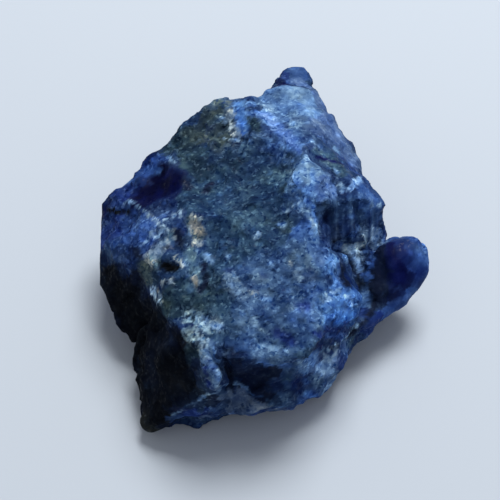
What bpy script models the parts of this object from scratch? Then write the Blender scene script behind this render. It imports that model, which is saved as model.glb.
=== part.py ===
"""A raw sodalite stone, about 42 mm long: one broken lump that rests on a flat fracture.

Lengths in the tables are millimetres, X to the east, Y to the north and Z up from the
surface that the stone rests on. The lump is built the way a rough stone breaks: a few
convex chunks, each the hull of its own corners, grown together into one solid, then
scooped, chipped, and cut off flat underneath.
"""

import math

import bmesh
import bpy
from mathutils import Vector, noise

MM = 0.001

# --- Driving dimensions, in millimetres -------------------------------------------------
SKIN_CELL = 0.40        # cell in which the chunks are fused into one skin
ROUNDING_PASSES = 2     # smoothing passes that take the knife edge off each fracture
REGROWTH = 0.14         # thickness that the rounding takes off and the skin gets back
TRIANGLES = 9600        # what the skin is thinned to, before its underside is cut off
CREASE = 16.0           # degrees between two faces from which their edge looks sharp
GROUND_BLOCK = (80.0, 80.0, 20.0)  # the block that cuts the base off flat

# Flat chips in the skin: size across, how far their faces lean, how low their corners are
CHIPS = [
    (5.2, 0.16, 0.13),
    (2.4, 0.14, 0.13),
]
# Swell of the skin: wavelength and height
SWELL = (8.0, 0.35)

# Smooth, glassy places without chips: centre and radius
GLASSY = {
    "east_lobe": ((17.0, -1.4, 6.2), 3.6),
    "north_west_scoop": ((-11.2, 7.0, 10.6), 4.2),
}

SODALITE_BLUE = (0.055, 0.105, 0.235)
SODALITE_ROUGHNESS = 0.55

# --- The chunks: each is the hull of its corners ------------------------------------------
CHUNKS = {
    # the thick middle, with the wide plateau on top
    "plateau": [
        (-3.5, 17.2, 13.0), (0.0, 16.8, 13.5), (5.2, 8.8, 15.6), (6.2, -0.1, 16.0),
        (6.9, -4.1, 15.0), (8.0, -5.3, 13.6), (7.3, -12.7, 12.0), (4.8, -15.7, 11.8),
        (-1.0, -15.5, 12.2), (-3.1, -14.9, 12.5), (-5.6, -13.6, 12.5), (-9.9, -5.0, 12.0),
        (-9.2, -0.2, 12.8), (-6.8, 7.6, 12.9), (-7.5, 12.6, 12.2),
        (-8.0, -13.0, -1.0), (-1.0, -14.0, -1.0), (6.0, -12.0, -1.0), (8.0, -5.0, -1.0),
        (8.0, 6.0, -1.0), (5.0, 15.0, -1.0), (-2.0, 15.5, -1.0), (-9.0, 9.0, -1.0),
        (-12.0, 0.0, -1.0), (-11.0, -8.0, -1.0),
    ],
    # the long facet that falls away east of the plateau
    "east_facet": [
        (0.0, 16.6, 13.2), (2.0, 19.0, 12.4), (6.1, 19.6, 11.8), (7.8, 20.0, 10.2),
        (10.3, 13.1, 11.0), (12.0, 8.6, 11.0), (14.1, 4.0, 10.5), (11.4, 2.8, 13.0),
        (5.2, 8.3, 16.0), (6.3, 0.3, 16.3),
        (6.9, -1.6, 11.5), (12.0, 0.8, 8.2), (14.6, 2.6, 6.5),
        (4.0, 18.0, 1.0), (7.0, 19.0, 4.0), (10.0, 12.0, 1.0), (13.0, 5.0, 1.5),
        (6.0, 2.0, 0.0),
    ],
    # the blunt tip north of the facet, one step lower
    "north_tip": [
        (1.6, 18.6, 11.4), (3.7, 23.0, 10.2), (4.4, 23.9, 9.6), (6.3, 24.0, 9.6),
        (7.4, 21.8, 9.8), (7.9, 20.0, 10.0), (2.5, 16.0, 11.6), (6.5, 16.0, 11.0),
        (4.5, 22.0, 4.5), (2.0, 16.0, 2.0), (7.0, 16.0, 2.0),
    ],
    # the shoulder on the west side
    "west_shoulder": [
        (-9.8, 1.2, 12.5), (-10.1, -4.3, 12.0), (-11.2, -4.4, 10.6), (-15.1, -1.2, 7.9),
        (-12.6, 5.0, 10.4), (-15.8, 6.4, 8.0), (-14.4, 6.6, 8.9), (-16.1, 1.4, 6.2),
        (-15.4, -3.7, 5.0), (-14.4, -6.0, 4.2), (-13.2, -7.2, 3.6), (-9.0, -7.0, 9.0),
        (-13.0, -3.0, 0.5), (-14.0, 4.0, 2.5), (-10.0, 7.0, 1.0), (-8.0, -8.0, -1.0),
        (-9.4, 5.8, 10.8),
    ],
    # the crest that closes the north-west side
    "north_west_crest": [
        (-7.5, 12.9, 12.0), (-9.1, 10.6, 12.0), (-11.1, 10.2, 10.6), (-12.2, 8.7, 9.6),
        (-14.6, 6.8, 8.7), (-11.8, 5.2, 10.2), (-6.5, 5.0, 12.4), (-5.0, 12.0, 12.4),
        (-10.5, 8.0, 1.5), (-13.0, 6.0, 4.0), (-5.0, 12.0, 1.0), (-5.0, 5.0, 1.0),
    ],
    # the low ledge of pale vein along the plateau's west edge
    "vein_ledge": [
        (-6.5, 1.5, 13.5), (-4.6, -5.2, 13.9), (-4.9, -9.0, 13.3), (-10.0, -5.0, 12.3),
        (-9.4, 0.2, 13.0), (-7.4, -9.2, 12.8), (-7.0, -4.0, 8.0),
    ],
    # the foot that runs out to the south-west
    "south_west_foot": [
        (-5.8, -13.8, 12.5), (-3.1, -16.5, 8.5), (-9.3, -8.4, 11.2), (-10.9, -18.3, 1.0),
        (-11.4, -15.7, 2.0), (-11.3, -9.8, 4.0), (-9.7, -18.0, 1.0), (-7.6, -18.0, 2.0),
        (-1.8, -16.9, 3.0), (-10.0, -16.0, -1.0), (-3.0, -15.0, -1.0), (-6.0, -8.0, -1.0),
    ],
    # the buttress that comes down from the plateau's south-west corner
    "corner_buttress": [
        (-6.4, -12.6, 12.1), (-3.2, -13.8, 12.2), (-4.6, -16.6, 9.9), (-2.9, -16.4, 9.8),
        (-5.4, -17.2, 7.8), (-2.8, -17.2, 7.6), (-6.0, -11.0, 4.0), (-2.4, -12.0, 4.0),
        (-4.0, -16.0, 2.0),
    ],
    # the lip along the south side
    "south_lip": [
        (-5.0, -17.0, 7.3), (-2.8, -16.3, 7.6), (0.5, -16.7, 7.0), (4.6, -16.6, 7.0),
        (-1.5, -17.0, 3.5), (4.6, -16.0, 3.0), (-8.1, -18.1, 2.0), (-5.0, -12.0, 6.0),
        (4.0, -12.0, 6.0), (-6.0, -15.0, -1.0), (3.0, -14.0, -1.0),
    ],
    # the small broken block at the south-east corner
    "south_east_block": [
        (9.7, -12.3, 5.0), (9.8, -10.6, 5.5), (7.2, -14.6, 2.5), (9.0, -13.2, 3.0),
        (5.1, -15.6, 3.0), (5.4, -13.4, 8.6), (3.9, -15.4, 8.5), (3.0, -10.0, 4.0),
        (8.6, -10.5, 7.6), (4.0, -13.0, -1.0), (7.5, -11.0, -1.0),
    ],
    # the bulge between the plateau and the lobe
    "blue_bulge": [
        (7.0, -5.2, 14.2), (9.6, -2.6, 11.2), (10.6, -3.4, 10.4), (7.4, -8.3, 13.2),
        (10.0, -7.9, 11.8), (11.5, -7.6, 10.4), (11.5, -9.3, 9.3), (9.5, -11.0, 9.3),
        (6.5, -12.0, 11.8), (5.0, -6.0, 3.0), (10.0, -7.5, 3.0), (8.5, -3.0, 6.0),
    ],
    # the rounded lobe that sticks out to the east
    "east_lobe": [
        (14.5, 0.9, 8.8), (14.6, -2.7, 8.6), (14.2, -4.9, 7.0), (16.4, 2.1, 8.6),
        (17.8, 2.1, 8.2), (18.6, 0.9, 7.4), (19.1, -0.5, 6.6), (18.8, -1.7, 6.0),
        (17.0, -4.1, 5.0), (15.7, -5.2, 4.5), (16.6, -0.8, 8.6),
        (11.6, 0.4, 6.3), (11.2, -4.0, 6.0), (12.2, -6.2, 5.6), (13.8, 2.0, 6.5),
        (12.0, -5.0, 0.5), (16.0, -0.5, 2.5), (13.5, 1.5, 2.5), (8.0, -4.0, 0.0),
    ],
    # the core that backs the hollow between the bulge and the lobe
    "east_core": [
        (7.0, -8.0, 6.6), (11.6, -5.2, 6.2), (12.6, 0.4, 6.8), (9.4, 3.6, 8.2),
        (7.0, -8.0, -1.0), (10.6, -5.4, -1.0), (11.4, -0.4, -1.0), (9.2, 4.6, -1.0),
    ],
    # the rim that ties the lobe to the south-east block
    "south_east_rim": [
        (15.7, -5.2, 4.6), (12.5, -7.3, 4.0), (10.2, -9.7, 4.0), (12.8, -5.6, 6.2),
        (10.9, -9.0, 6.6), (9.2, -10.9, 6.8), (8.0, -6.0, 6.0),
        (12.0, -4.5, 0.8), (9.0, -8.5, 0.0), (7.0, -8.0, 2.0),
    ],
}

# --- The scoops: centre, radii and turn about Z in degrees of each rounded cut -------------
SCOOPS = {
    "black_pit": ((9.9, -4.6, 11.4), (0.9, 1.5, 2.4), -10.0),
    "lobe_hollow": ((12.4, -2.8, 9.0), (1.5, 2.6, 2.1), 15.0),
    "north_west_scoop": ((-10.8, 6.4, 13.4), (3.6, 2.2, 2.8), 40.0),
    "south_hollow": ((0.8, -17.0, 9.6), (3.9, 1.6, 2.3), 0.0),
    "crest_notch_west": ((-12.6, 9.4, 10.2), (1.5, 0.9, 2.2), 40.0),
    "crest_notch_north": ((-10.0, 11.5, 11.8), (1.5, 0.9, 2.2), 30.0),
    "west_pit": ((-8.2, -5.4, 13.1), (1.5, 1.2, 1.3), 30.0),
    "vein_pit": ((-8.2, -0.9, 13.6), (0.9, 0.8, 1.1), 0.0),
    "north_step": ((-0.5, 17.6, 13.6), (2.4, 1.0, 1.2), 0.0),
}


def clear_scene():
    for obj in list(bpy.data.objects):
        bpy.data.objects.remove(obj, do_unlink=True)


def new_group(name):
    """A collection of helpers, which stay out of the finished model."""
    group = bpy.data.collections.new(name)
    bpy.context.scene.collection.children.link(group)
    return group


def add_object(name, work, parent, group=None):
    """Turns a bmesh into an object under the parent. One in a group is a helper."""
    mesh = bpy.data.meshes.new(name)
    work.to_mesh(mesh)
    work.free()
    obj = bpy.data.objects.new(name, mesh)
    obj.parent = parent
    (group or bpy.context.scene.collection).objects.link(obj)
    if group:
        obj.hide_render = True
        obj.display_type = "WIRE"
    return obj


def finished_shape(obj):
    """A bmesh of the object as its modifiers leave it."""
    work = bmesh.new()
    work.from_object(obj, bpy.context.evaluated_depsgraph_get())
    return work


def hulls(name, corner_lists, parent, group):
    """The convex chunks with these corners, all in one object and overlapping."""
    work = bmesh.new()
    for corners in corner_lists:
        points = [work.verts.new(Vector(corner) * MM) for corner in corners]
        made = bmesh.ops.convex_hull(work, input=points)
        inside = [part for part in made["geom_interior"] if isinstance(part, bmesh.types.BMVert)]
        bmesh.ops.delete(work, geom=inside, context="VERTS")
    bmesh.ops.recalc_face_normals(work, faces=work.faces)
    return add_object(name, work, parent, group)


def scoop(name, centre, radii, turn, parent, group):
    """A rounded cutter with these radii, turned about Z."""
    work = bmesh.new()
    bmesh.ops.create_icosphere(work, subdivisions=3, radius=1.0)
    bmesh.ops.scale(work, vec=Vector(radii) * MM, verts=work.verts)
    obj = add_object(name, work, parent, group)
    obj.location = Vector(centre) * MM
    obj.rotation_euler.z = math.radians(turn)


def ground(name, parent, group):
    """The block under the stone, whose top is the surface that the stone rests on."""
    work = bmesh.new()
    bmesh.ops.create_cube(work, size=1.0)
    bmesh.ops.scale(work, vec=Vector(GROUND_BLOCK) * MM, verts=work.verts)
    down = Vector((0, 0, -GROUND_BLOCK[2] / 2)) * MM
    bmesh.ops.translate(work, vec=down, verts=work.verts)
    add_object(name, work, parent, group)


def cut_away(obj, group):
    step = obj.modifiers.new("cut_" + group.name, "BOOLEAN")
    step.operation = "DIFFERENCE"
    step.operand_type = "COLLECTION"
    step.collection = group


def one_skin(obj, name):
    """Fuses what overlaps into one closed skin of even cells."""
    skin = obj.modifiers.new(name, "REMESH")
    skin.mode = "VOXEL"
    skin.voxel_size = SKIN_CELL * MM


def round_edges(obj):
    soften = obj.modifiers.new("round_edges", "SMOOTH")
    soften.iterations = ROUNDING_PASSES


def thin_out(obj, triangles):
    """Thins a skin of four-sided cells to about this many triangles."""
    fewer = obj.modifiers.new("thin_out", "DECIMATE")
    fewer.ratio = triangles / (2 * len(obj.data.polygons))


def chip_height(place):
    """Height of the chipped skin at a place, in the unit of CHIPS: flat faces that lean at
    random, one around each of a scatter of points, and meet in creases."""
    height = 0.0
    for size, lean, drop in CHIPS:
        spot = place / size
        faces = []
        for distance, seed in zip(*noise.voronoi(spot)):
            turn = noise.cell_vector(seed * 97.0) - Vector((0.5, 0.5, 0.5))
            faces.append(2 * lean * turn.dot(spot - seed) - drop * distance ** 2)
        height += size * max(faces)
    for centre, radius in GLASSY.values():
        distance = (place - Vector(centre)).length / radius
        height *= min(1.0, distance ** 4)
    length, swell = SWELL
    return REGROWTH + height + swell * noise.noise(place / length)


def chipped(name, lump, parent, group):
    """The lump's skin with every point moved in or out along its normal."""
    work = finished_shape(lump)
    work.normal_update()
    moves = [v.normal * chip_height(v.co / MM) * MM for v in work.verts]
    for vertex, move in zip(work.verts, moves):
        vertex.co += move
    return add_object(name, work, parent, group)


def sodalite():
    """Deep blue stone, dull where it is broken."""
    material = bpy.data.materials.new("sodalite")
    material.use_nodes = True
    shader = material.node_tree.nodes["Principled BSDF"]
    shader.inputs["Base Color"].default_value = (*SODALITE_BLUE, 1.0)
    shader.inputs["Roughness"].default_value = SODALITE_ROUGHNESS
    shader.inputs["Metallic"].default_value = 0.0
    return material


def middle_of(obj):
    """The middle of the object's box."""
    corners = [Vector(corner) for corner in obj.bound_box]
    return sum(corners, Vector()) / len(corners)


clear_scene()
origin = bpy.data.objects.new("origin", None)
bpy.context.scene.collection.objects.link(origin)
stages, scoops, below = map(new_group, ("stages", "scoops", "below"))

for name, (centre, radii, turn) in SCOOPS.items():
    scoop(name, centre, radii, turn, origin, scoops)
lump = hulls("lump", CHUNKS.values(), origin, stages)
one_skin(lump, "fuse_chunks")
cut_away(lump, scoops)
one_skin(lump, "even_out")
round_edges(lump)

ground("ground_block", origin, below)
rough = chipped("rough_stone", lump, origin, stages)
one_skin(rough, "knit_chips")
thin_out(rough, TRIANGLES)
cut_away(rough, below)

stone = add_object("sodalite_stone", finished_shape(rough), origin)
stone.data.shade_smooth()
stone.data.set_sharp_from_angle(angle=math.radians(CREASE))
stone.data.materials.append(sodalite())

# The frame's origin is under the middle of the stone's box, on the surface that it rests on
middle = middle_of(stone)
origin.location = (-middle.x, -middle.y, 0.0)
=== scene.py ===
"""The looks of the raw sodalite stone.

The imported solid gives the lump. Its skin is meshed again finely, creases, veins and ledges
are laid on it where they belong, and the fracture's own facets are grown over the rest. Each
point of the skin then gets a tint, a gloss and a grit, from which one material is mixed.

Lengths are millimetres unless a comment says otherwise. A place on the stone is named by the
pixel of the 500-pixel picture that shows it, and is found on the stone behind that pixel.
"""

import itertools
import math

import bmesh
import bpy
import numpy as np
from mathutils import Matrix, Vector
from mathutils.bvhtree import BVHTree


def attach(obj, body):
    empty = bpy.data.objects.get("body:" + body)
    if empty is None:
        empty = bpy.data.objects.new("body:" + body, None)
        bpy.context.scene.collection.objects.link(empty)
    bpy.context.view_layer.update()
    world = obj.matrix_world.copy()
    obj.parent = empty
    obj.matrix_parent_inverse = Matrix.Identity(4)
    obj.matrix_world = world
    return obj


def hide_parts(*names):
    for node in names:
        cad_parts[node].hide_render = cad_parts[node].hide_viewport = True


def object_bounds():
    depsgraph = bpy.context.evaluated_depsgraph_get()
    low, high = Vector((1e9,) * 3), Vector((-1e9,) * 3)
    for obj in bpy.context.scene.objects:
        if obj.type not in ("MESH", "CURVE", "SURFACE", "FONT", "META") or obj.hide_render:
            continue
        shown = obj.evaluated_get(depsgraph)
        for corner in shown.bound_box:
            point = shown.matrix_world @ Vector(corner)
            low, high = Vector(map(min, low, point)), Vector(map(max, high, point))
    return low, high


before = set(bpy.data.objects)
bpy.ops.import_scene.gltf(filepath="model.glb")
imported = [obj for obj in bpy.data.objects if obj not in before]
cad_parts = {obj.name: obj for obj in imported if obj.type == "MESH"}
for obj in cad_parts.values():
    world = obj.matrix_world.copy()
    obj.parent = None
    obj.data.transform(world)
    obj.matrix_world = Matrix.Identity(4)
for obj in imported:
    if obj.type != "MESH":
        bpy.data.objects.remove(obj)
cad_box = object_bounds()

MM = 0.001                          # in metres

# --- The picture ---------------------------------------------------------------------------
PICTURE = 500.0                     # pixels along each side
PIXEL = 0.105                       # what one pixel spans at the camera's target
TARGET = (-1.511, -2.882, 8.0)      # what the middle pixel shows
DISTANCE = 150.0                    # from the camera to its target
ELEVATION = math.radians(55.0)      # how steeply the camera looks down
SENSOR = 36.0                       # how wide the camera's film is
NEAREST = 10.0                      # how near the camera still sees
INWARD_STEP = 0.01                  # how a pixel beside the stone nears the picture's middle

# --- The skin ------------------------------------------------------------------------------
CELL = 0.208                        # between neighbouring points of the skin
WELD = 0.001                        # the solid's corners that are nearer than this are one
SMOOTHING = 6                       # passes that take the solid's own small faces off
SURROUNDINGS = 30                   # passes that average what lies around a point
HOLLOW_FADE = 0.08                  # the depth over which a tight hollow loses its breaks
HOLLOW_GONE = 1.2                   # how many times as deep it is where none are left
FLAT_WAVE = 0.4                     # how wavy the flat faces' borders are, by their size
LEAST_COSINE = 0.5                  # of the angle between the skin and a flat face
DEEPEST_BREAK = 0.6                 # how far a flat face moves the skin at most
FLAT_SHARE = 0.8                    # how much of the way to its flat face a point moves
SCALLOP_MEAN = 0.2                  # the scallops' mean height, which is taken off again
SMALL_MEAN = 0.08                   # the same for the small ones
CHIP_SHARE = 0.3                    # how much of their own height the chips keep
RIDGE_RISE = 0.5                    # how high the ridges of the east wall are
REGROWTH = 0.2                      # what the skin gets back for its broken corners
UPRIGHT = np.array([1.0, 0.12, 0.12])  # squeezes places, so that noise runs up the east wall

# --- The shades ----------------------------------------------------------------------------
RESTING = 0.02                      # how little the colour under all fields weighs
FIELD_EDGE = 2.6                    # how fast a field fades
FIELD_SNAP = 0.65                   # how nearly a field ends along the grains' borders
MARK_EDGE = 1.6                     # how firm a mark's edge is
MARK_SNAP = 0.6                     # how nearly a mark ends along the grains' borders
SPECK_SPREAD = 1.8                  # how much the grains of a crust differ in strength
SPECK_GAPS = 0.4                    # what is taken off each, so that some are missing
CLOUDS = [(0.7, 3.2, 45), (0.4, 1.3, 46)]  # strength, size, seed, as in the next lists
STREAKS = [(0.35, 0.6, 47)]
STREAK_WAY = np.array([[0.6, 0.45, 0], [0.45, 0.6, 0], [0, 0, 1]])  # down to the south-east
SHADE_GRAINS = [(0.5, 2.6, 50), (0.5, 1.3, 51), (0.3, 0.6, 52)]
SHADE_WAVE = 0.3                    # how wavy these grains' borders are, by their size
CALM_CLOUDS = 0.5                   # what calm stone lacks of the clouds
WALL_STRIPES = 1.8                  # how strong the stripes of the east wall are
TONE = (1.25, 1.0, 0.65)            # how red, green and blue change where it is lighter
HUE_DRIFT = [(1.0, 1.1, 48), (1.0, 3.5, 49)]
TURN_OF_HUE = (0.18, 0.07, -0.10)   # how they change where the hue drifts
GLINT_GRAINS = SHADE_GRAINS[-1][1:]  # the smallest ones glint: size, seed
GLINT_FROM = 0.94                   # the grains with a higher number glint
GLINT_EDGE = 0.12                   # how far from its border a grain glints in full
GLINT_OWN = 0.5                     # how much of its own colour a glinting grain adds
GLINT = (0.005, 0.010, 0.020)       # and what it adds to that
FULL_GRIT = 0.02                    # stone lighter than this has all of its grit
LEAST_GRIT = 0.2                    # what the darkest stone keeps of it
GRIT_LOSS = (0.85, 0.5, 0.6)        # what glassy, calm and dull stone lack of it

# --- The crystals too small for the mesh ---------------------------------------------------
COARSE_CRYSTAL = 0.75               # their sizes
FINE_CRYSTAL = 0.34
FLECK = 0.27
RIPPLE = 0.7                        # from wave to wave of their borders
RIPPLE_REACH = 0.5                  # how far the waves move the borders
COARSE_SHARE = 0.7                  # how much a coarse crystal shades beside a fine one
# A pale fleck is partly a pale grain and partly painted sparkle.
PALE_FLECK = (0.55, 0.85, 1.2)      # what a pale fleck adds, before it is scaled down
CRYSTAL_TURN = 0.3                  # how far the crystals turn from the surface
SHEEN = 0.04                        # the shader's specular level
HALVES = (0.5, 0.5, 0.5)            # the middle of a crystal's random numbers
ONES = (1.0, 1.0, 1.0)

# --- The studio, in metres and watts -------------------------------------------------------
FLOOR_SIZE = 1.5                    # from its middle to its edge
FLOOR_COLOUR = (0.57, 0.61, 0.66, 1)
FLOOR_ROUGHNESS = 0.9
AIM = Vector((0.0, 0.0, 0.008))     # the stone's middle, which the light points at
SKY_COLOUR = (0.85, 0.9, 1.0, 1)
SKY_STRENGTH = 0.38

# --- Colours of the mineral, also used for painted shade and sheen -------------------------
COLOURS = {
    "slate": (0.020, 0.050, 0.098),
    "green_slate": (0.0145, 0.034, 0.056),
    # steel and pale_steel also paint the soft sheen that the light from behind leaves on the
    # plateau.
    "steel": (0.039, 0.086, 0.190),
    "blue_steel": (0.042, 0.105, 0.290),
    "pale_steel": (0.125, 0.235, 0.420),
    "cornflower": (0.120, 0.255, 0.540),
    "azure": (0.062, 0.165, 0.430),
    "bright_azure": (0.060, 0.200, 0.620),
    "royal": (0.034, 0.085, 0.260),
    "indigo": (0.012, 0.030, 0.140),
    "navy": (0.0016, 0.0035, 0.045),
    "deep_blue": (0.0065, 0.022, 0.100),
    "night_navy": (0.0007, 0.0014, 0.020),
    "midnight": (0.014, 0.034, 0.105),
    # ink, black and black_green also paint shade, in hollows and on faces turned from the
    # light, over the stone's own dark colours.
    "ink": (0.0050, 0.0100, 0.0300),
    "black": (0.0022, 0.0028, 0.0040),
    "black_green": (0.0150, 0.0165, 0.0140),
    "lip_grey": (0.072, 0.110, 0.190),
    "olive": (0.026, 0.042, 0.048),
    "olive_pale": (0.070, 0.105, 0.115),
    "dusk": (0.092, 0.160, 0.325),
    "tan": (0.205, 0.205, 0.190),
    "cream": (0.330, 0.400, 0.430),
    "frost": (0.260, 0.400, 0.560),
    "mint": (0.220, 0.340, 0.420),
    "pale_blue": (0.230, 0.400, 0.680),
    "periwinkle": (0.082, 0.168, 0.420),
    "teal_grey": (0.060, 0.120, 0.190),
}

# --- Where the colours lie: for each one, picture pixels and how far it reaches ------------
GROUNDS = {
    "olive": [
        (212, 116, 1.5), (228, 124, 1.2), (222, 138, 1.3), (195, 136, 1.4),
    ],
    "teal_grey": [
        (242, 150, 1.0), (220, 119, 0.9), (210, 233, 1.0), (235, 202, 1.0),
    ],
    "green_slate": [
        (178, 142, 1.8), (196, 168, 1.8), (194, 150, 1.4), (150, 270, 1.4), (186, 300, 1.6),
        (250, 128, 1.2), (290, 167, 1.2), (284, 188, 1.2), (288, 225, 1.4), (172, 300, 1.8),
        (196, 308, 1.4), (236, 165, 1.6), (176, 292, 1.4), (212, 292, 1.2), (192, 352, 0.9),
        (268, 228, 1.2),
    ],
    "slate": [
        (250, 172, 2.0), (222, 182, 2.2), (262, 200, 2.4), (228, 225, 2.4), (255, 240, 2.4),
        (225, 262, 2.2), (225, 300, 1.8), (226, 330, 1.4), (205, 205, 1.8), (196, 195, 1.8),
        (310, 352, 1.2), (330, 160, 1.4), (339, 165, 1.2), (286, 382, 0.8), (272, 178, 1.4),
        (352, 335, 1.0),
    ],
    "dusk": [
        (322, 100, 1.6), (330, 122, 1.6), (338, 140, 1.6), (352, 160, 1.2), (318, 125, 1.2),
        (362, 172, 1.2), (300, 84, 0.9),
    ],
    "steel": [
        # The spots on the plateau's south half are partly painted sheen, the soft reflection of
        # the light from behind, over the stone's own slate-blue.
        (285, 262, 2.2), (258, 310, 2.4), (256, 139, 0.9), (279, 157, 1.0), (291, 197, 1.0),
        (285, 399, 0.9), (284, 366, 0.7), (285, 300, 2.4), (240, 335, 2.4), (275, 340, 2.4),
        (305, 335, 1.8), (325, 380, 1.8), (192, 262, 1.2), (300, 245, 1.6), (355, 205, 1.2),
        (250, 170, 1.3), (245, 275, 2.2), (262, 262, 1.6), (328, 208, 1.4), (346, 210, 1.4),
        (362, 214, 1.2),
    ],
    "blue_steel": [
        (312, 300, 1.2), (305, 320, 1.8), (316, 250, 1.2), (302, 228, 1.4), (372, 200, 1.6),
        (378, 215, 1.2), (320, 375, 1.2), (338, 380, 1.2),
    ],
    "pale_steel": [
        # The first five spots, on the top ridge, are partly painted sheen, the soft reflection
        # of the light from behind, and partly paler stone.
        (268, 96, 1.6), (290, 94, 1.8), (308, 96, 1.2), (290, 108, 1.6), (308, 112, 1.2),
        (312, 175, 1.4), (300, 165, 1.2), (212, 372, 0.9), (206, 358, 0.8), (297, 128, 1.0),
        (372, 202, 0.8), (313, 142, 0.8),
    ],
    "cornflower": [
        (264, 114, 0.9), (275, 123, 1.1), (287, 136, 1.1), (240, 116, 0.7), (300, 172, 0.9),
        (314, 228, 0.7), (366, 302, 0.8), (298, 148, 0.8), (309, 360, 1.0),
    ],
    "periwinkle": [
        (322, 188, 1.3),
    ],
    "pale_blue": [
        (326, 370, 1.4), (328, 386, 1.4), (374, 228, 1.3),
    ],
    "azure": [
        (310, 192, 0.9), (348, 300, 1.7), (334, 304, 1.4), (358, 308, 1.2), (336, 318, 1.0),
        (328, 262, 1.3),
    ],
    "bright_azure": [
        (331, 320, 0.9), (341, 312, 0.8), (330, 260, 0.7),
    ],
    "royal": [
        (174, 418, 0.8), (300, 72, 1.0), (290, 80, 0.9), (304, 307, 1.3), (320, 254, 1.1),
        (348, 318, 1.0), (130, 235, 2.0), (145, 225, 1.6), (152, 170, 1.2), (128, 186, 0.9),
        # The spots with x past 390 lie on the glassy lobe's rim: its lighter blue there is a
        # painted glow, for light shining through the edge.
        (344, 346, 1.0), (424, 262, 1.4), (412, 236, 1.2), (410, 296, 1.4), (392, 314, 1.4),
        (402, 236, 1.0), (424, 250, 1.2), (310, 394, 0.9), (396, 302, 1.2),
    ],
    "indigo": [
        (284, 76, 0.7), (104, 240, 1.2), (116, 228, 1.4), (119, 196, 1.4), (408, 250, 1.2),
        (400, 300, 1.4), (372, 325, 1.6), (318, 398, 1.2), (418, 275, 1.2), (330, 330, 1.2),
        (190, 415, 1.2), (342, 366, 1.2),
    ],
    "navy": [
        (277, 80, 0.9), (155, 190, 2.2), (172, 182, 1.8), (148, 198, 1.4), (400, 262, 2.0),
        (398, 248, 1.4), (402, 278, 1.6), (104, 215, 1.0), (394, 296, 1.2),
    ],
    "midnight": [
        (325, 228, 1.4), (342, 232, 1.4), (360, 318, 1.4), (322, 344, 1.2), (300, 386, 1.4),
        (228, 378, 0.8), (164, 204, 1.3), (328, 160, 0.9), (332, 347, 1.2), (286, 391, 0.5),
        (126, 257, 1.4), (136, 252, 1.0),
    ],
    "ink": [
        # Painted shade over the stone's own dark blue: the band under the plateau's south edge,
        # the shadow that the south-west ridge casts beside it, and the hollow west of the lobe.
        (232, 362, 1.2), (240, 372, 1.4), (255, 380, 1.6), (262, 392, 1.2), (268, 382, 0.9),
        (228, 376, 0.9), (212, 401, 0.9), (226, 356, 0.9), (256, 368, 1.2), (268, 370, 0.8),
        (374, 272, 1.8), (380, 288, 1.4),
    ],
    "deep_blue": [
        (376, 250, 1.3), (298, 386, 1.2), (345, 276, 1.3),
    ],
    "black": [
        # Most spots lie on the steep south-west flank, which faces away from the light: its own
        # dark stone with painted shade. (366, 284) paints the shade in the pit beside the lobe.
        (120, 300, 2.6), (108, 275, 1.8), (336, 240, 0.7), (150, 330, 3.0), (170, 370, 3.4),
        (160, 410, 2.6), (130, 330, 2.2), (182, 345, 1.4), (125, 290, 2.4), (140, 310, 2.4),
        (366, 284, 1.2), (140, 350, 3.0), (140, 390, 3.0),
    ],
    "black_green": [
        # The foot of the same flank: its own green-black with painted shade.
        (150, 428, 1.6), (146, 418, 1.4),
    ],
    "lip_grey": [
        (238, 402, 1.3), (254, 406, 0.9), (275, 409, 0.9), (204, 417, 0.9), (240, 408, 1.2),
    ],
}
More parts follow.
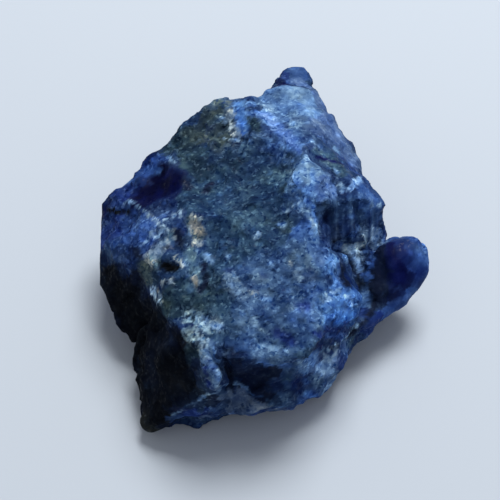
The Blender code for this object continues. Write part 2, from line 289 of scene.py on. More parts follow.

# --- Single crystals, stains, pits and painted shadows with clear edges: colour, reach, path of pixels ------
PATCHES = [
    ("teal_grey", 0.9, [(170, 236), (160, 249), (150, 260)]),
    ("olive_pale", 0.9, [(192, 222), (198, 236)]),
    ("tan", 0.75, [(194, 225), (199, 232)]),
    ("teal_grey", 0.9, [(190, 253), (195, 270), (197, 280)]),
    ("pale_steel", 0.4, [(205, 254), (212, 262)]),
    ("tan", 0.35, [(194, 280), (196, 286)]),
    ("black", 0.8, [(163, 266), (175, 268)]),
    ("ink", 0.8, [(177, 233), (180, 242)]),
    ("olive_pale", 1.0, [(145, 269), (148, 279)]),
    ("ink", 0.8, [(211, 184), (206, 191)]),
    ("ink", 0.8, [(185, 182), (188, 187)]),
    ("pale_steel", 0.5, [(334, 149), (338, 152)]),
    ("cream", 0.55, [(165, 241), (161, 249)]),
    ("teal_grey", 0.6, [(189, 287), (193, 290)]),
    ("blue_steel", 0.7, [(361, 205), (366, 208), (371, 218)]),
    ("blue_steel", 0.5, [(350, 234), (355, 235)]),
    ("azure", 0.5, [(347, 325), (353, 322)]),
    ("pale_steel", 0.45, [(279, 224), (284, 225)]),
    ("pale_steel", 0.45, [(285, 161), (289, 162)]),
    ("pale_steel", 0.45, [(281, 322), (286, 324)]),
    # Painted shadow, which the south-west ridge casts to its east, along the sunk crease.
    ("ink", 0.45, [(227, 360), (228, 374), (228, 386)]),
    ("pale_blue", 0.45, [(218, 371), (220, 379)]),
    ("frost", 0.4, [(238, 125), (240, 132)]),
    ("steel", 0.6, [(319, 297), (322, 300)]),
    ("midnight", 0.8, [(274, 382), (278, 386)]),
    ("steel", 0.5, [(286, 382), (288, 385)]),
    ("cornflower", 0.4, [(363, 206), (366, 208)]),
    ("blue_steel", 0.6, [(305, 380), (307, 384)]),
    ("blue_steel", 0.6, [(284, 364), (289, 366)]),
    ("indigo", 0.7, [(301, 306), (307, 306)]),
    ("bright_azure", 0.8, [(338, 320), (346, 318), (354, 316)]),
    ("cornflower", 0.5, [(249, 104), (254, 104)]),
    ("cornflower", 0.5, [(306, 201), (309, 206)]),
    ("pale_blue", 0.5, [(213, 324), (220, 327)]),
    ("pale_steel", 0.4, [(226, 254), (230, 257)]),
    ("blue_steel", 0.6, [(263, 362), (270, 364)]),
    ("royal", 0.5, [(365, 274), (371, 277)]),
    ("royal", 0.8, [(321, 248), (334, 249), (340, 246)]),
    ("royal", 0.7, [(318, 261), (322, 262)]),
    ("azure", 0.6, [(330, 262), (335, 259)]),
    ("ink", 0.7, [(134, 249), (139, 256)]),
    ("ink", 0.45, [(380, 241), (382, 246)]),
    ("midnight", 0.45, [(228, 269), (232, 271)]),
    ("midnight", 0.4, [(262, 276), (267, 277)]),
    ("cornflower", 0.5, [(344, 255), (346, 261)]),
    # Painted shade in the sunk west crevice.
    ("ink", 0.6, [(204, 266), (206, 282), (200, 290)]),
    ("black", 0.4, [(108, 210), (120, 212), (129, 212)]),
    ("green_slate", 1.0, [(172, 290), (170, 306)]),
    ("azure", 0.8, [(240, 104), (241, 120), (244, 132)]),
    ("night_navy", 1.1, [(149, 193), (155, 181), (163, 167)]),
    ("night_navy", 1.1, [(164, 184), (176, 179)]),
    ("night_navy", 0.7, [(139, 197), (146, 188)]),
    ("indigo", 0.7, [(126, 189), (134, 186)]),
    ("navy", 0.7, [(272, 88), (276, 86), (280, 85), (285, 84)]),
    # The pit between the bulge and the lobe: its own dark stone with painted shade.
    ("ink", 0.9, [(342, 267), (347, 284)]),
    # Painted shade in the sunk groove below the bulge.
    ("ink", 0.5, [(375, 308), (352, 333), (332, 348)]),
    ("frost", 0.75, [(232, 281), (237, 289)]),
    ("periwinkle", 0.6, [(291, 141), (299, 151)]),
    # The hollow along the lobe's west side: its own dark stone with painted shade.
    ("ink", 0.8, [(380, 248), (382, 268), (379, 292), (374, 305)]),
    ("indigo", 0.7, [(276, 332), (284, 336), (291, 342)]),
    ("indigo", 0.5, [(315, 333), (321, 335)]),
    ("royal", 0.5, [(326, 336), (334, 337), (345, 335)]),
    ("periwinkle", 1.0, [(264, 114), (277, 126), (289, 139)]),
    ("green_slate", 0.8, [(253, 120), (257, 130)]),
    ("pale_steel", 0.7, [(252, 139), (268, 143)]),
    ("pale_steel", 0.4, [(272, 108), (288, 114), (304, 114)]),
    ("pale_steel", 0.6, [(300, 205), (308, 214)]),
    ("cornflower", 0.4, [(313, 170), (314, 200)]),
    ("cornflower", 0.45, [(313, 203), (315, 238)]),
    # Pale crystals at the east wall's foot, made paler still as painted light, because the
    # hollow they lie in is shaded.
    ("frost", 0.6, [(366, 241), (358, 247), (345, 248)]),
    ("pale_blue", 0.65, [(352, 249), (357, 260), (360, 268)]),
    ("pale_blue", 0.5, [(350, 188), (356, 182), (361, 179)]),
    ("pale_steel", 0.4, [(341, 185), (342, 190)]),
    ("pale_steel", 0.35, [(336, 170), (337, 174)]),
    ("pale_blue", 0.6, [(318, 366), (332, 372)]),
    ("cornflower", 0.35, [(329, 252), (334, 264)]),
    ("royal", 0.5, [(342, 340), (345, 352)]),
    ("deep_blue", 0.8, [(295, 382), (302, 393)]),
    ("deep_blue", 0.5, [(318, 345), (330, 352)]),
    ("azure", 0.5, [(306, 393), (316, 400)]),
    ("steel", 0.8, [(314, 378), (322, 392)]),
    ("blue_steel", 0.6, [(148, 168), (158, 171)]),
    ("navy", 0.5, [(318, 157), (342, 164)]),
]

# --- Veins and crusts of small grains, written in the same way -----------------------------
SPECKS = [
    ("cream", 0.4, [(192, 217), (200, 219)]),
    ("cream", 1.0, [(168, 234), (163, 243), (156, 250), (150, 257)]),
    ("tan", 0.4, [(164, 246), (171, 249)]),
    ("cream", 0.7, [(148, 258), (152, 266)]),
    ("cream", 0.35, [(177, 256), (183, 266)]),
    ("tan", 0.6, [(193, 224), (198, 232)]),
    ("tan", 0.4, [(194, 277), (197, 286)]),
    ("cream", 0.5, [(163, 282), (171, 281)]),
    ("frost", 0.65, [(153, 290), (159, 302)]),
    ("tan", 0.35, [(158, 290)]),
    ("teal_grey", 1.3, [(196, 328), (212, 336)]),
    ("mint", 1.1, [(189, 316), (196, 320), (206, 329)]),
    ("mint", 0.7, [(185, 332), (194, 340)]),
    ("frost", 0.8, [(205, 320), (217, 326)]),
    ("frost", 0.9, [(203, 336), (206, 342)]),
    ("frost", 0.6, [(202, 351), (206, 362)]),
    ("frost", 0.8, [(206, 364), (215, 384)]),
    ("indigo", 0.55, [(208, 362), (205, 374), (210, 386)]),
    ("royal", 0.4, [(214, 366), (217, 378)]),
    ("cream", 0.55, [(231, 112), (232, 126), (238, 139)]),
    ("frost", 0.4, [(226, 138), (240, 140)]),
    ("olive_pale", 0.8, [(218, 101), (226, 104)]),
    ("olive_pale", 0.5, [(204, 130), (216, 140)]),
    ("pale_steel", 0.3, [(168, 157), (174, 162)]),
    ("frost", 0.35, [(124, 203), (132, 202), (142, 209), (158, 222), (167, 230)]),
    ("frost", 0.7, [(168, 218), (180, 213)]),
    ("frost", 0.6, [(158, 236), (164, 232)]),
    ("cream", 0.45, [(193, 240), (199, 243)]),
    ("frost", 0.5, [(242, 130), (246, 136)]),
    ("frost", 0.35, [(158, 224), (152, 232), (146, 242)]),
    ("frost", 0.4, [(222, 118), (227, 124)]),
    ("frost", 0.35, [(288, 211), (298, 205), (308, 213), (314, 228)]),
    ("blue_steel", 0.9, [(368, 250), (367, 264)]),
    ("blue_steel", 0.6, [(364, 276), (370, 279)]),
    ("frost", 1.1, [(231, 279), (239, 291)]),
    ("frost", 0.4, [(257, 234), (257, 241)]),
    ("cream", 0.35, [(289, 262), (295, 262)]),
    ("frost", 0.5, [(297, 270), (300, 281)]),
    ("cream", 0.35, [(252, 292), (257, 292)]),
    ("pale_steel", 0.6, [(246, 345), (258, 330), (255, 316)]),
    ("pale_steel", 0.5, [(252, 346), (276, 348)]),
    ("pale_steel", 0.5, [(326, 296), (340, 292), (352, 300)]),
    ("frost", 0.3, [(366, 194), (372, 204), (380, 206)]),
    ("frost", 0.35, [(338, 178), (340, 190)]),
    ("pale_steel", 0.3, [(358, 326), (344, 339), (313, 355)]),
    ("pale_steel", 0.3, [(174, 414), (207, 395), (222, 386), (238, 384), (249, 392)]),
    ("steel", 0.3, [(249, 392), (271, 403), (288, 405)]),
    ("pale_steel", 0.4, [(286, 352), (300, 362), (306, 374)]),
    ("pale_blue", 0.35, [(324, 302), (333, 294)]),
    ("pale_blue", 0.35, [(344, 296), (358, 305)]),
]

# --- Where the skin is of another sort: picture pixels, and a reach ------------------------
GLASSY = [
    (400, 256, 3.4), (394, 280, 3.0), (412, 272, 3.0), (398, 300, 2.4), (155, 187, 3.2),
    (172, 178, 2.6), (140, 200, 2.0), (373, 314, 2.0),
]
GRAINY = [
    (345, 300, 3.0), (330, 310, 2.4), (130, 230, 3.0), (122, 250, 2.6), (208, 365, 1.8),
]
CALM = [
    (312, 100, 5.0), (330, 125, 5.0), (346, 155, 5.0), (362, 180, 4.0), (378, 210, 3.0),
    (300, 74, 2.5),
]
DULL = [
    (150, 330, 5.0), (170, 370, 5.0), (160, 410, 5.0), (130, 330, 4.0), (245, 375, 4.5),
    (270, 385, 4.0), (345, 275, 2.0), (372, 275, 2.0), (120, 300, 4.0), (335, 225, 3.0),
]
STRIATED = [
    (330, 225, 2.8), (350, 228, 2.8), (368, 228, 2.2), (340, 212, 2.6),
]

# --- Creases drawn into the skin: path, width, and how far it rises (or sinks, below zero) -
CREASES = [
    ([(214, 345), (228, 352), (250, 356), (278, 358), (300, 354), (316, 342)], 1.0, 0.25),
    ([(315, 202), (340, 202), (362, 200), (380, 205)], 1.1, 0.45),
    ([(152, 264), (155, 300), (188, 338), (216, 384)], 1.2, 0.45),
    ([(288, 213), (298, 207), (308, 215), (314, 228)], 0.6, 0.3),
    ([(120, 200), (135, 203), (150, 213), (165, 222)], 0.7, 0.3),
    ([(300, 147), (305, 180), (311, 200)], 1.0, 0.3),
    ([(205, 262), (214, 275), (200, 292)], 0.7, -0.5),
    ([(273, 330), (284, 336), (292, 347)], 0.9, -0.5),
    ([(365, 305), (345, 335), (320, 350), (300, 352)], 0.9, -0.5),
    ([(320, 250), (336, 255)], 1.6, 0.9),
    ([(204, 350), (208, 366), (214, 384)], 0.9, 0.5),
    ([(227, 360), (229, 374), (228, 385)], 0.6, -0.3),
    ([(255, 99), (262, 95), (269, 90)], 1.4, 0.5),
    ([(386, 240), (387, 282), (385, 298)], 0.8, -0.4),
    ([(215, 101), (250, 99)], 1.5, 0.3),
    ([(282, 91), (293, 93), (306, 94)], 1.6, 0.4),
    ([(278, 80), (282, 75)], 0.9, 0.35),
    ([(288, 70), (302, 70)], 1.0, 0.25),
    ([(174, 142), (187, 129), (201, 117)], 1.8, -0.7),
    ([(112, 206), (120, 194), (134, 182)], 2.2, 0.8),
    ([(253, 139), (265, 142)], 1.3, 0.7),
    ([(104, 285), (114, 308), (128, 328)], 3.0, 0.6),
    ([(149, 424)], 2.6, 0.9),
    ([(127, 331), (134, 341)], 1.6, 0.4),
    ([(357, 333), (348, 343), (346, 356)], 1.6, -0.8),
    ([(105, 226), (104, 250)], 1.6, 0.3),
    ([(404, 238), (420, 243), (428, 262)], 2.0, 0.35),
    ([(376, 195), (383, 215)], 2.0, 0.3),
    ([(174, 414), (207, 395), (222, 386), (238, 384), (249, 392), (271, 403)], 0.9, 0.4),
    ([(192, 427), (199, 431), (212, 424)], 2.2, -1.9),
    ([(344, 250), (353, 254), (362, 262)], 3.0, 1.5),
]


# --- Camera --------------------------------------------------------------------------------
def camera_axes():
    """Right, up and forward, for a camera that looks along +Y and down."""
    right = Vector((1.0, 0.0, 0.0))
    forward = Vector((0.0, math.cos(ELEVATION), -math.sin(ELEVATION)))
    return right, right.cross(forward), forward


def camera_place():
    """Where the camera stands, in millimetres."""
    return Vector(TARGET) - camera_axes()[2] * DISTANCE


def make_camera():
    lens = bpy.data.cameras.new("camera")
    lens.sensor_width = SENSOR
    lens.lens = SENSOR * DISTANCE / (PICTURE * PIXEL)
    lens.clip_start = NEAREST * MM
    camera = bpy.data.objects.new("camera", lens)
    camera.location = camera_place() * MM
    camera.rotation_euler = (math.pi / 2 - ELEVATION, 0.0, 0.0)
    bpy.context.scene.collection.objects.link(camera)
    bpy.context.scene.camera = camera


class Picker:
    """Finds the point of a piece that a pixel of the picture shows, or, for a pixel beside
    it, the first point met on the way from there to the middle of the picture."""

    def __init__(self, piece):
        points = [vertex.co / MM for vertex in piece.data.vertices]
        faces = [tuple(face.vertices) for face in piece.data.polygons]
        self.tree = BVHTree.FromPolygons(points, faces)

    def __call__(self, x, y):
        right, up, forward = camera_axes()
        across = (x - PICTURE / 2) * PIXEL
        down = (y - PICTURE / 2) * PIXEL
        place = None
        inward = 1.0
        while place is None:
            way = forward * DISTANCE + inward * (right * across - up * down)
            place = self.tree.ray_cast(camera_place(), way.normalized())[0]
            inward -= INWARD_STEP
        return np.array(place)


# --- Noise, the same in each run -----------------------------------------------------------
AXIS_PRIMES = (73856093, 19349663, 83492791)
DRAW_PRIME = 668265263
STIRRING = ((16, 2146121005), (15, 2221713035), (16, 1))  # shifts and factors
NOISE_SPAN = 1.5                    # brings the noise to about -1 to 1
MIDDLES = 5                         # these keep the draws of one seed apart
SLOPES = 50
NUMBERS = 70
LEVELS = 90
BORDERS = 100


def hashed(cells, seed):
    """Three numbers from 0 to 1 for each cell of a lattice."""
    base = np.zeros(cells.shape[:-1], dtype=np.uint32)
    for axis, prime in enumerate(AXIS_PRIMES):
        base ^= cells[..., axis].astype(np.int64).astype(np.uint32) * np.uint32(prime)
    numbers = []
    for draw in (1, 2, 3):
        mixed = base + np.uint32((seed * 3 + draw) * DRAW_PRIME % 2**32)
        for shift, factor in STIRRING:
            mixed = (mixed ^ (mixed >> np.uint32(shift))) * np.uint32(factor)
        numbers.append(mixed / 2.0**32)
    return np.stack(numbers, axis=-1)


def soft_noise(places, length, seed):
    """Smooth noise from about -1 to 1, with features of this length."""
    scaled = places / length
    cell = np.floor(scaled)
    inside = scaled - cell
    ease = inside**3 * (inside * (inside * 6 - 15) + 10)
    total = np.zeros(len(places))
    for corner in itertools.product((0, 1), repeat=3):
        slope = hashed(cell + corner, seed) * 2 - 1
        weight = np.prod(np.where(corner, ease, 1 - ease), axis=1)
        total += weight * np.sum(slope * (inside - corner), axis=1)
    return total * NOISE_SPAN


def layered(places, layers):
    """Soft noise of several strengths, lengths and seeds, added up."""
    return sum(strength * soft_noise(places, length, seed) for strength, length, seed in layers)


def warped(places, length, reach, seed):
    """The places, each moved at random by up to about this reach."""
    moves = [soft_noise(places, length, seed + axis) for axis in range(3)]
    return places + reach * np.stack(moves, axis=1)


def scallops(places, size, lean, hollow, seed):
    """Heights of leaning hollows of this size that meet in sharp ridges."""
    scaled = places / size
    cell = np.floor(scaled)
    lowest = np.full(len(places), np.inf)
    for step in itertools.product((-1, 0, 1), repeat=3):
        neighbour = cell + step
        offset = scaled - neighbour - hashed(neighbour, seed)
        slope = hashed(neighbour, seed + SLOPES) * 2 - 1
        face = lean * np.sum(slope * offset, axis=1) + hollow * np.sum(offset**2, axis=1)
        lowest = np.minimum(lowest, face)
    return lowest * size


def chips(places, size, lean, rise, seed):
    """Heights of flat faces of this size that lean and rise at random, broken apart by small
    cliffs."""
    scaled = places / size
    cell = np.floor(scaled)
    nearest = np.full(len(places), np.inf)
    height = np.zeros(len(places))
    for step in itertools.product((-1, 0, 1), repeat=3):
        neighbour = cell + step
        offset = scaled - neighbour - hashed(neighbour, seed)
        distance = np.sum(offset**2, axis=1)
        slope = hashed(neighbour, seed + SLOPES) * 2 - 1
        level = hashed(neighbour, seed + LEVELS)[:, 0] * 2 - 1
        face = size * lean * np.sum(slope * offset, axis=1) + rise * level
        height = np.where(distance < nearest, face, height)
        nearest = np.minimum(distance, nearest)
    return height


def grains(places, size, seed):
    """The grain that each place lies in: its middle, its random numbers, and how far the
    place is from the next grain."""
    scaled = places / size
    cell = np.floor(scaled)
    nearest = np.full(len(places), np.inf)
    second = np.full(len(places), np.inf)
    middles = np.zeros((len(places), 3))
    numbers = np.zeros((len(places), 3))
    for step in itertools.product((-1, 0, 1), repeat=3):
        neighbour = cell + step
        middle = neighbour + hashed(neighbour, seed)
        distance = np.linalg.norm(scaled - middle, axis=1)
        closer = distance < nearest
        second = np.where(closer, nearest, np.minimum(second, distance))
        middles[closer] = middle[closer]
        numbers[closer] = hashed(neighbour[closer], seed + NUMBERS)
        nearest = np.where(closer, distance, nearest)
    return middles * size, numbers, (second - nearest) * size


# --- Marks on the stone --------------------------------------------------------------------
def fade(distance, reach):
    """1 at no distance, falling softly to 0 at this reach."""
    near = np.clip(1 - distance / reach, 0, 1)
    return near * near * (3 - 2 * near)


def distance_to_path(places, path):
    """From each place to the nearest point of a bent line."""
    if len(path) == 1:
        return np.linalg.norm(places - path[0], axis=1)
    nearest = np.full(len(places), np.inf)
    for start, end in zip(path, path[1:]):
        along = end - start
        share = np.clip((places - start) @ along / (along @ along), 0, 1)
        gap = np.linalg.norm(places - start - share[:, None] * along, axis=1)
        nearest = np.minimum(nearest, gap)
    return nearest


def nearness(places, pick, spots):
    """1 within half the spots' reach and 0 beyond it, with soft, ragged edges."""
    ragged = warped(places, length=1.6, reach=0.6, seed=13)
    near = np.zeros(len(places))
    for x, y, reach in spots:
        distance = np.linalg.norm(ragged - pick(x, y), axis=1)
        near = np.maximum(near, np.clip(2 - 2 * distance / reach, 0, 1))
    return near


def spared(places, pick, spots, loss):
    """1, but less by this loss at the spots."""
    return 1 - loss * nearness(places, pick, spots)


# --- Shape: the skin -----------------------------------------------------------------------
def knit(piece, passes):
    """Meshes the piece again, evenly and free of folds, and smooths it."""
    remesh = piece.modifiers.new("fine", "REMESH")
    remesh.mode = "VOXEL"
    remesh.voxel_size = CELL * MM
    soften = piece.modifiers.new("soften", "SMOOTH")
    soften.iterations = passes
    graph = bpy.context.evaluated_depsgraph_get()
    coarse = piece.data
    piece.data = bpy.data.meshes.new_from_object(piece.evaluated_get(graph))
    piece.modifiers.clear()
    bpy.data.meshes.remove(coarse)


def fine_skin(solid):
    """The solid's surface as an even, smooth mesh."""
    work = bmesh.new()
    work.from_mesh(solid.data)
    bmesh.ops.remove_doubles(work, verts=work.verts, dist=WELD * MM)
    mesh = bpy.data.meshes.new("stone")
    work.to_mesh(mesh)
    work.free()
    piece = bpy.data.objects.new("stone_skin", mesh)
    bpy.context.scene.collection.objects.link(piece)
    knit(piece, passes=SMOOTHING)
    return piece


def read_points(mesh):
    """Places in millimetres, and normals."""
    places = np.empty(len(mesh.vertices) * 3)
    normals = np.empty(len(mesh.vertices) * 3)
    mesh.vertices.foreach_get("co", places)
    mesh.vertices.foreach_get("normal", normals)
    return places.reshape(-1, 3) / MM, normals.reshape(-1, 3)


def write_points(mesh, places):
    """Moves the points to these places, given in millimetres."""
    mesh.vertices.foreach_set("co", (places * MM).ravel())
    mesh.update()


def summed(owner, vectors):
    """The sum of the vectors that belong to each owner."""
    return np.stack([np.bincount(owner, vectors[:, axis]) for axis in range(3)], axis=1)


def smoothed(mesh, places, passes):
    """The places, each moved half way to the middle of its neighbours, this many times."""
    ends = np.empty(len(mesh.edges) * 2, dtype=np.int32)
    mesh.edges.foreach_get("vertices", ends)
    one, other = ends.reshape(-1, 2).T
    from_all, to_all = np.append(one, other), np.append(other, one)
    neighbours = np.bincount(to_all)
    for _ in range(passes):
        total = summed(to_all, places[from_all])
        places = (places + total / neighbours[:, None]) / 2
    return places


def openness(mesh, places, normals):
    """1 on flats and humps, down to 0 in tight hollows."""
    depth = np.sum((smoothed(mesh, places, SURROUNDINGS) - places) * normals, axis=1)
    return np.clip(HOLLOW_GONE - depth / HOLLOW_FADE, 0, 1)


def broken_flat(places, normals, size, turn, seed):
    """How far each place is from the flat face of its grain, along the normal. The places
    are told apart by their normals too, so the grains end at the creases."""
    wavy = warped(places, size, FLAT_WAVE * size, seed)
    middles = grains(wavy + turn * normals, size, seed + MIDDLES)[0]
    owner = np.unique(np.round(middles, decimals=3), axis=0, return_inverse=True)[1].ravel()
    count = np.bincount(owner)[:, None]
    centre = summed(owner, places) / count
    facing = summed(owner, normals)
    facing /= np.linalg.norm(facing, axis=1, keepdims=True)
    gap = np.sum((centre[owner] - places) * facing[owner], axis=1)
    cosine = np.sum(normals * facing[owner], axis=1)
    return np.clip(gap / np.maximum(cosine, LEAST_COSINE), -DEEPEST_BREAK, DEEPEST_BREAK)


def crease(mesh, pick):
    """Lays the creases, veins and ledges on the skin."""
    places, normals = read_points(mesh)
    height = np.zeros(len(places))
    for path, width, rise in CREASES:
        line = [pick(x, y) for x, y in path]
        height += rise * fade(distance_to_path(places, line), width)
    write_points(mesh, places + normals * height[:, None])


def break_up(mesh, pick):
    """Turns the rounded lump into flat faces and hollows that meet in sharp edges."""
    places, normals = read_points(mesh)
    height = FLAT_SHARE * broken_flat(places, normals, size=3.8, turn=3.0, seed=17)
    wavy = warped(places, length=3.0, reach=0.7, seed=15)
    height += scallops(wavy, size=3.2, lean=0.28, hollow=0.25, seed=22) - SCALLOP_MEAN
    rough = spared(places, pick, GLASSY, loss=0.9) * spared(places, pick, CALM, loss=0.6)
    height *= rough * openness(mesh, places, normals)
    write_points(mesh, smoothed(mesh, places + normals * height[:, None], 1))


def roughen(mesh, pick):
    """Grows the fracture's own small faces, grains and ridges over the skin."""
    places, normals = read_points(mesh)
    rough = spared(places, pick, GLASSY, loss=0.9) * spared(places, pick, DULL, loss=0.4)
    grainy = nearness(places, pick, GRAINY)
    wall = nearness(places, pick, STRIATED)
    wavy = warped(places, length=1.0, reach=0.3, seed=16)
    height = rough * (scallops(wavy, size=1.2, lean=0.25, hollow=0.25, seed=25) - SMALL_MEAN)
    wavy = warped(places, length=0.8, reach=0.2, seed=17)
    chipped = chips(wavy, size=0.7, lean=0.2, rise=0.03, seed=23)
    height += CHIP_SHARE * rough * (1 + grainy) * chipped
    height += RIDGE_RISE * wall * soft_noise(places * UPRIGHT, length=0.6, seed=24)
    places = places + normals * (height + REGROWTH)[:, None]
    low, high = (np.array(corner) / MM for corner in cad_box)
    write_points(mesh, np.clip(places, low, high))


# --- Colour --------------------------------------------------------------------------------
def ground_tint(places, pick):
    """The stone's large fields of colour, which run into each other, with painted shade and
    sheen among them.
    """
    total = np.full(len(places), RESTING)
    blend = 0.5 + 0.5 * soft_noise(places, length=5.0, seed=37)
    resting = np.outer(blend, COLOURS["indigo"]) + np.outer(1 - blend, COLOURS["slate"])
    tint = resting * total[:, None]
    for name, spots in GROUNDS.items():
        for x, y, reach in spots:
            distance = np.linalg.norm(places - pick(x, y), axis=1)
            share = np.exp(-FIELD_EDGE * (distance / reach) ** 2)
            total += share
            tint += share[:, None] * COLOURS[name]
    return tint / total[:, None]


def marked(tint, places, marks, strength, pick):
    """The tint with these marks laid over it."""
    for name, reach, path in marks:
        line = [pick(x, y) for x, y in path]
        cover = np.clip(MARK_EDGE - MARK_EDGE * distance_to_path(places, line) / reach, 0, 1)
        tint += (cover * strength)[:, None] * (np.array(COLOURS[name]) - tint)
    return tint


def snapped(places, middles, share):
    """The places, moved by this share towards their grains' middles."""
    return (1 - share) * places + share * middles


def wavy_grains(places, size, seed):
    """The random numbers of each place's wavy grain, and how far the next grain is."""
    wavy = warped(places, size, SHADE_WAVE * size, seed + BORDERS)
    return grains(wavy, size, seed)[1:]


def lightness(places, pick, calm):
    """How light or dark the stone is: clouds, streaks, grains, and stripes up the wall."""
    light = layered(places, CLOUDS)
    light += layered(places @ STREAK_WAY, STREAKS)
    for strength, size, seed in SHADE_GRAINS:
        numbers = wavy_grains(places, size, seed)[0]
        light += strength * (numbers[:, 0] - 0.5)
    light *= 1 - CALM_CLOUDS * calm
    stripes = soft_noise(places * UPRIGHT, length=0.5, seed=24)
    return light + WALL_STRIPES * nearness(places, pick, STRIATED) * stripes


def glinting(places, dull):
    """1 on the few grains that glint, falling to 0 at their borders."""
    numbers, border = wavy_grains(places, *GLINT_GRAINS)
    return (1 - dull) * (numbers[:, 1] > GLINT_FROM) * np.clip(border / GLINT_EDGE, 0, 1)


def stone_tint(places, pick, calm, dull):
    """The colour of the stone, with painted shade, sheen and glints in places. Each grain has
    one colour, so the fields and veins end along the grains' own angular borders."""
    ragged = warped(places, length=2.2, reach=0.9, seed=31)
    middles = grains(warped(ragged, length=0.8, reach=0.3, seed=33), size=1.3, seed=34)[0]
    tint = ground_tint(snapped(ragged, middles, FIELD_SNAP), pick)
    middles, numbers = grains(places, size=0.42, seed=36)[:2]
    angular = snapped(warped(places, length=0.9, reach=0.35, seed=35), middles, MARK_SNAP)
    tint = marked(tint, angular, PATCHES, 1.0, pick)
    crusted = np.clip(SPECK_SPREAD * numbers[:, 2] - SPECK_GAPS, 0, 1)
    tint = marked(tint, angular, SPECKS, crusted, pick)
    tint *= np.exp(np.outer(lightness(places, pick, calm), TONE))
    tint *= np.exp(np.outer(layered(places, HUE_DRIFT), TURN_OF_HUE))
    tint += glinting(places, dull)[:, None] * (GLINT_OWN * tint + GLINT)
    return tint


def write_values(mesh, name, values):
    """Keeps one number for each point, for the material to read."""
    layer = mesh.attributes.new(name, "FLOAT", "POINT")
    layer.data.foreach_set("value", values)


def paint(mesh, pick):
    """Gives each point of the skin its tint, gloss and grit."""
    places = read_points(mesh)[0]
    sorts = [nearness(places, pick, spots) for spots in (GLASSY, CALM, DULL)]
    glassy, calm, dull = sorts
    tint = stone_tint(places, pick, calm, dull)
    colours = np.ones((len(places), 4))
    colours[:, :3] = np.clip(tint, 0, 1)
    layer = mesh.color_attributes.new("tint", "FLOAT_COLOR", "POINT")
    layer.data.foreach_set("color", colours.ravel())
    write_values(mesh, "gloss", np.clip((1 + glassy - dull) / 2, 0, 1))
    grit = np.clip(tint[:, 1] / FULL_GRIT, LEAST_GRIT, 1)
    for share, loss in zip(sorts, GRIT_LOSS):
        grit *= 1 - loss * share
    write_values(mesh, "grit", grit)


# --- Material ------------------------------------------------------------------------------
class Wiring:
    """Makes and joins the nodes of one material."""

    def __init__(self, name):
        self.material = bpy.data.materials.new(name)
        self.material.use_nodes = True
        self.tree = self.material.node_tree
        self.shader = self.tree.nodes["Principled BSDF"]

    def node(self, kind, settings, **inputs):
        """A node with these settings, and inputs that are numbers or other nodes' outputs.
        An input goes by its name, with _ for a space, or by its number, as in _0."""
        made = self.tree.nodes.new(kind)
        for name, value in settings.items():
            setattr(made, name, value)
        for name, value in inputs.items():
            number = name[1:]
            socket = made.inputs[int(number) if number.isdigit() else name.replace("_", " ")]
            if isinstance(value, bpy.types.NodeSocket):
                self.tree.links.new(value, socket)
            else:
                socket.default_value = value
        return made

    def vector(self, operation, first, second=(0.0, 0.0, 0.0), scale=1.0):
        settings = {"operation": operation}
        made = self.node("ShaderNodeVectorMath", settings, _0=first, _1=second, _3=scale)
        return made.outputs["Vector"]

    def number(self, operation, first, second):
        settings = {"operation": operation}
        return self.node("ShaderNodeMath", settings, _0=first, _1=second).outputs[0]

    def spread(self, value, low, high, start=0.0, end=1.0):
        """The value, mapped from start..end to low..high."""
        return self.node("ShaderNodeMapRange", {}, Value=value, From_Min=start, From_Max=end,
                         To_Min=low, To_Max=high).outputs["Result"]

    def parts(self, value):
        """The three numbers of a vector or colour."""
        return self.node("ShaderNodeSeparateXYZ", {}, Vector=value).outputs

    def attribute(self, name, output):
        """What the skin's points hold under this name."""
        return self.node("ShaderNodeAttribute", {"attribute_name": name}).outputs[output]

    def crystals(self, place, size):
        """Random numbers, one set for each crystal of this size."""
        scale = 1 / (size * MM)
        return self.node("ShaderNodeTexVoronoi", {}, Vector=place, Scale=scale).outputs["Color"]

    def feed(self, name, value):
        """Joins the value to this input of the shader."""
        self.tree.links.new(value, self.shader.inputs[name])


def rippled_place(wiring):
    """Each place of the object, moved a little, so that the crystals' borders are wavy."""
    place = wiring.node("ShaderNodeTexCoord", {}).outputs["Object"]
    ripple = wiring.node("ShaderNodeTexNoise", {}, Vector=place, Scale=1 / (RIPPLE * MM))
    bend = wiring.vector("SUBTRACT", ripple.outputs["Color"], HALVES)
    return wiring.vector("ADD", place, wiring.vector("SCALE", bend, scale=RIPPLE_REACH * MM))


def crystal_colour(wiring, coarse, fine, flecks, grit):
    """The tint, lighter or darker from crystal to crystal, with pale flecks that are partly
    pale grains and partly painted sparkle, and dark flecks that are partly dark grains and
    partly painted shade in tiny pits.
    """
    shade = wiring.vector("ADD", wiring.vector("SCALE", coarse, scale=COARSE_SHARE), fine)
    factor = wiring.spread(wiring.parts(shade)["X"], low=0.6, high=1.3, end=1 + COARSE_SHARE)
    lighter = wiring.spread(flecks["X"], low=1.0, high=1.7, start=0.82, end=0.95)
    factor = wiring.number("MULTIPLY", factor, lighter)
    darker = wiring.spread(flecks["Y"], low=0.45, high=1.0, start=0.05, end=0.2)
    factor = wiring.number("MULTIPLY", factor, darker)
    change = wiring.number("MULTIPLY", wiring.number("SUBTRACT", factor, 1.0), grit)
    change = wiring.vector("ADD", wiring.vector("SCALE", TONE, scale=change), ONES)
    colour = wiring.vector("MULTIPLY", wiring.attribute("tint", "Color"), change)
    pale = wiring.spread(flecks["X"], low=0.0, high=0.035, start=0.82, end=0.95)
    pale = wiring.number("MULTIPLY", pale, grit)
    return wiring.vector("ADD", colour, wiring.vector("SCALE", PALE_FLECK, scale=pale))


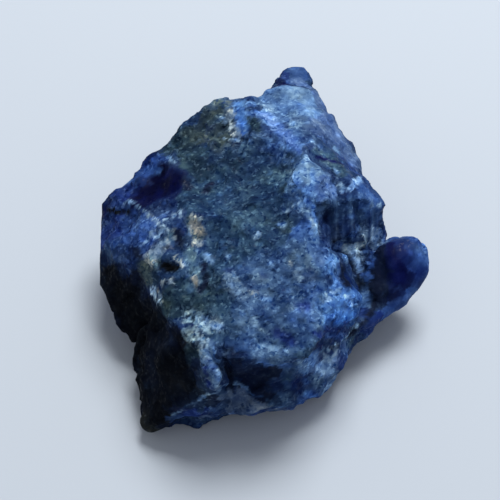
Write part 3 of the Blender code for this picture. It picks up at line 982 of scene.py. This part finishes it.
def crystal_normal(wiring, coarse, fine, grit):
    """Each crystal turns its own face to the light."""
    turn = wiring.vector("SUBTRACT", wiring.vector("ADD", coarse, fine), ONES)
    turn = wiring.vector("SCALE", turn, scale=wiring.number("MULTIPLY", grit, CRYSTAL_TURN))
    normal = wiring.node("ShaderNodeNewGeometry", {}).outputs["Normal"]
    return wiring.vector("NORMALIZE", wiring.vector("ADD", normal, turn))


def crystal_roughness(wiring, flecks):
    """Satin, with a few smoother flecks, and smoother where the stone is glassy."""
    rough = wiring.spread(flecks["Z"], low=0.7, high=0.3, start=0.7, end=0.9)
    gloss = wiring.attribute("gloss", "Fac")
    return wiring.number("ADD", rough, wiring.spread(gloss, low=0.2, high=-0.1))


def sodalite():
    """The tint, broken up by crystals too small for the mesh."""
    wiring = Wiring("sodalite")
    place = rippled_place(wiring)
    coarse = wiring.crystals(place, COARSE_CRYSTAL)
    fine = wiring.crystals(place, FINE_CRYSTAL)
    flecks = wiring.parts(wiring.crystals(place, FLECK))
    grit = wiring.attribute("grit", "Fac")
    wiring.feed("Base Color", crystal_colour(wiring, coarse, fine, flecks, grit))
    wiring.feed("Normal", crystal_normal(wiring, coarse, fine, grit))
    wiring.feed("Roughness", crystal_roughness(wiring, flecks))
    wiring.shader.inputs["Specular IOR Level"].default_value = SHEEN
    return wiring.material


# --- Studio --------------------------------------------------------------------------------
def area_light(name, place, size, power, colour):
    lamp = bpy.data.lights.new(name, "AREA")
    lamp.size = size
    lamp.energy = power
    lamp.color = colour
    light = bpy.data.objects.new(name, lamp)
    light.location = place
    light.rotation_euler = (AIM - Vector(place)).to_track_quat("-Z", "Y").to_euler()
    bpy.context.scene.collection.objects.link(light)


def make_floor():
    work = bmesh.new()
    bmesh.ops.create_grid(work, x_segments=1, y_segments=1, size=FLOOR_SIZE)
    mesh = bpy.data.meshes.new("floor")
    work.to_mesh(mesh)
    work.free()
    floor = bpy.data.objects.new("floor", mesh)
    bpy.context.scene.collection.objects.link(floor)
    material = bpy.data.materials.new("floor")
    material.use_nodes = True
    sockets = material.node_tree.nodes["Principled BSDF"].inputs
    sockets["Base Color"].default_value = FLOOR_COLOUR
    sockets["Roughness"].default_value = FLOOR_ROUGHNESS
    mesh.materials.append(material)


def make_sky():
    world = bpy.data.worlds.new("studio")
    bpy.context.scene.world = world
    world.use_nodes = True
    sockets = world.node_tree.nodes["Background"].inputs
    sockets["Color"].default_value = SKY_COLOUR
    sockets["Strength"].default_value = SKY_STRENGTH


# --- The scene -----------------------------------------------------------------------------
make_camera()
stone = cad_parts["sodalite_stone"]
on_solid = Picker(stone)
skin = fine_skin(stone)
crease(skin.data, on_solid)
break_up(skin.data, on_solid)
knit(skin, passes=0)
roughen(skin.data, on_solid)
paint(skin.data, Picker(skin))
skin.data.shade_flat()
skin.data.materials.append(sodalite())

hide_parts("sodalite_stone")
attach(skin, "root")

make_floor()
area_light("window", place=(0.08, 0.23, 0.42), size=0.22, power=2.4, colour=(0.95, 0.98, 1.0))
make_sky()
bpy.context.scene.view_settings.view_transform = "Standard"
